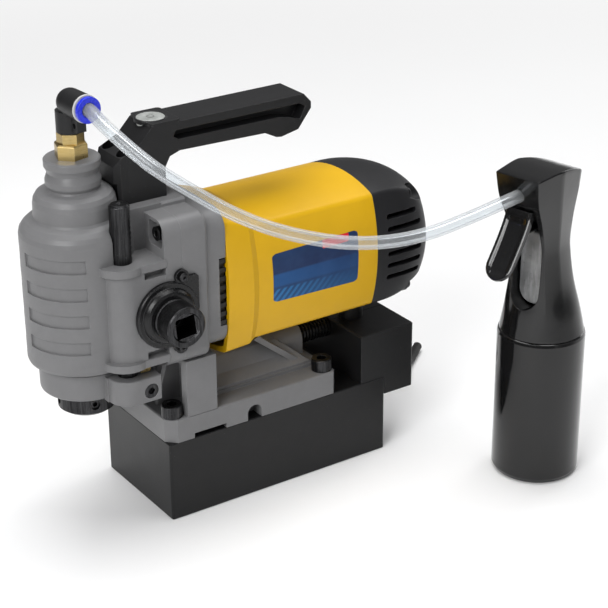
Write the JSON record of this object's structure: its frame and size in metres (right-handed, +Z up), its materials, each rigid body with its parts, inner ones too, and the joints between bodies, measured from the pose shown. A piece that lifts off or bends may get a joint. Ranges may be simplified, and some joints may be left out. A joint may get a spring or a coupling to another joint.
{
  "type": "magnetic drill press",
  "caption": "Low-profile magnetic drill press: holding magnet, horizontal motor, geared vertical spindle with rack feed, top handle and hose-fed coolant bottle.",
  "frame": {"origin": "centre of the magnet's holding face, on the work surface", "axes": "+Z up away from the work surface, +X from the spindle towards the motor tail, -Y is the side with the feed socket"},
  "size_m": [0.3342, 0.2039, 0.2719],
  "materials": {
    "magnet_paint": "satin black paint",
    "potting_resin": "cast black epoxy",
    "copper_winding": "enamelled copper wire",
    "grey_casting": "satin grey paint over a fine cast texture",
    "black_oxide": "oiled black oxide",
    "ground_steel": "ground steel",
    "laminated_steel": "stacked silicon steel laminations",
    "yellow_shell": "fine grained yellow nylon",
    "black_shell": "fine grained black nylon",
    "black_rubber": "soft black rubber",
    "conduit_plastic": "glossy black corrugated tube",
    "carbon": "pressed carbon",
    "brass": "machined brass",
    "blue_ring": "glossy blue nylon",
    "fan_plastic": "black moulded nylon",
    "board": "green circuit board",
    "rocker_red": "glossy red rocker",
    "rocker_green": "glossy green rocker",
    "level_glass": "clear acrylic vial",
    "clear_hose": "clear flexible tube",
    "bottle_gloss": "high gloss black plastic"
  },
  "bodies": {
    "root": {"magnet_block": "magnet_paint", "magnet_coil": "copper_winding", "magnet_potting": "potting_resin", "base_casting": "grey_casting", "base_screws": "black_oxide", "spindle_housing": "grey_casting", "gear_case": "grey_casting", "case_screws": "black_oxide", "vent_grille": "black_shell", "motor_housing": "yellow_shell", "end_cap": "black_shell", "end_cap_screws": "black_oxide", "stator_core": "laminated_steel", "field_windings": "copper_winding", "ball_bearings": "ground_steel", "brush_holders": "brass", "carbon_brushes": "carbon", "feed_cover": "black_shell", "cover_screws": "black_oxide", "rack_guide_pad": "brass", "handle": "black_shell", "handle_screws": "black_oxide", "bubble_level": "level_glass", "control_box": "black_shell", "switch_plate": "black_shell", "circuit_board": "board", "cable_conduit": "conduit_plastic", "lead_stem": "black_shell", "strain_relief": "black_rubber", "mains_cable": "black_rubber", "brass_adapter": "brass", "elbow_stud": "brass"},
    "armature": {"armature_shaft": "ground_steel", "armature_core": "laminated_steel", "armature_windings": "copper_winding", "commutator": "copper_winding", "cooling_fan": "fan_plastic"},
    "layshaft": {"layshaft": "ground_steel"},
    "bevel_pinion": {"bevel_pinion": "ground_steel", "bevel_shaft_gear": "ground_steel"},
    "bevel_wheel": {"bevel_wheel": "ground_steel", "drive_shaft": "ground_steel"},
    "quill": {"quill_sleeve": "ground_steel", "quill_collar": "grey_casting", "clamp_screw": "black_oxide", "rack_rod": "black_oxide", "quill_bearings": "ground_steel"},
    "spindle": {"arbor": "black_oxide", "arbor_grub_screws": "black_oxide"},
    "feed_shaft": {"feed_shaft": "black_oxide", "feed_gear": "ground_steel"},
    "magnet_rocker": {"magnet_rocker": "rocker_red"},
    "motor_rocker": {"motor_rocker": "rocker_green"},
    "coolant_line": {"elbow_body": "black_shell", "coolant_hose": "clear_hose", "bottle_body": "bottle_gloss", "bottle_head": "bottle_gloss"},
    "release_collet": {"release_collet": "blue_ring"},
    "trigger": {"bottle_trigger": "bottle_gloss"},
    "plunger": {"pump_plunger": "bottle_gloss"}
  },
  "joints": [
    {"name": "armature_spin", "type": "hinge", "parent": "root", "child": "armature", "pos_m": [0, 0, 0.14], "axis": [1, 0, 0], "continuous": true},
    {"name": "layshaft_spin", "type": "hinge", "parent": "root", "child": "layshaft", "pos_m": [-0.06, 0, 0.164], "axis": [1, 0, 0], "continuous": true},
    {"name": "bevel_pinion_spin", "type": "hinge", "parent": "root", "child": "bevel_pinion", "pos_m": [-0.08, 0, 0.183], "axis": [1, 0, 0], "continuous": true},
    {"name": "bevel_wheel_spin", "type": "hinge", "parent": "root", "child": "bevel_wheel", "pos_m": [-0.113, 0, 0.19], "axis": [0, 0, 1], "continuous": true},
    {"name": "quill_feed", "type": "slide", "parent": "root", "child": "quill", "axis": [0, 0, -1], "range_m": [0, 0.05]},
    {"name": "spindle_spin", "type": "hinge", "parent": "quill", "child": "spindle", "pos_m": [-0.113, 0, 0.1], "axis": [0, 0, 1], "continuous": true},
    {"name": "feed_shaft_turn", "type": "hinge", "parent": "root", "child": "feed_shaft", "pos_m": [-0.08, -0.03, 0.1403], "axis": [0, -1, 0], "range_deg": [0, 180]},
    {"name": "magnet_rocker_tilt", "type": "hinge", "parent": "root", "child": "magnet_rocker", "pos_m": [0.101, 0.012, 0.065], "axis": [0, -1, 0], "range_deg": [0, 14]},
    {"name": "motor_rocker_tilt", "type": "hinge", "parent": "root", "child": "motor_rocker", "pos_m": [0.101, -0.014, 0.065], "axis": [0, -1, 0], "range_deg": [0, 14]},
    {"name": "coolant_swivel", "type": "hinge", "parent": "root", "child": "coolant_line", "pos_m": [-0.113, 0, 0.25], "axis": [0, 0, 1], "range_deg": [-120, 0]},
    {"name": "collet_press", "type": "slide", "parent": "coolant_line", "child": "release_collet", "axis": [-0.0698, 0.9976, 0], "range_m": [0, 0.0012], "stiffness_N_per_m": 400},
    {"name": "trigger_squeeze", "type": "hinge", "parent": "coolant_line", "child": "trigger", "pos_m": [0.12059, -0.11762, 0.181], "axis": [0.208, -0.9781, 0], "range_deg": [0, 18], "stiffness_Nm_per_rad": 0.2},
    {"name": "plunger_stroke", "type": "slide", "parent": "coolant_line", "child": "plunger", "axis": [0.9781, 0.208, 0], "range_m": [0, 0.0038]}
  ],
  "couplings": [
    {"joint": "layshaft_spin", "follows": "armature_spin", "ratio": -0.2},
    {"joint": "bevel_pinion_spin", "follows": "armature_spin", "ratio": 0.11667},
    {"joint": "bevel_wheel_spin", "follows": "armature_spin", "ratio": -0.029167},
    {"joint": "spindle_spin", "follows": "armature_spin", "ratio": -0.029167},
    {"joint": "feed_shaft_turn", "follows": "quill_feed", "rad_per_m": 62.5},
    {"joint": "plunger_stroke", "follows": "trigger_squeeze", "m_per_rad": 0.012}
  ]
}
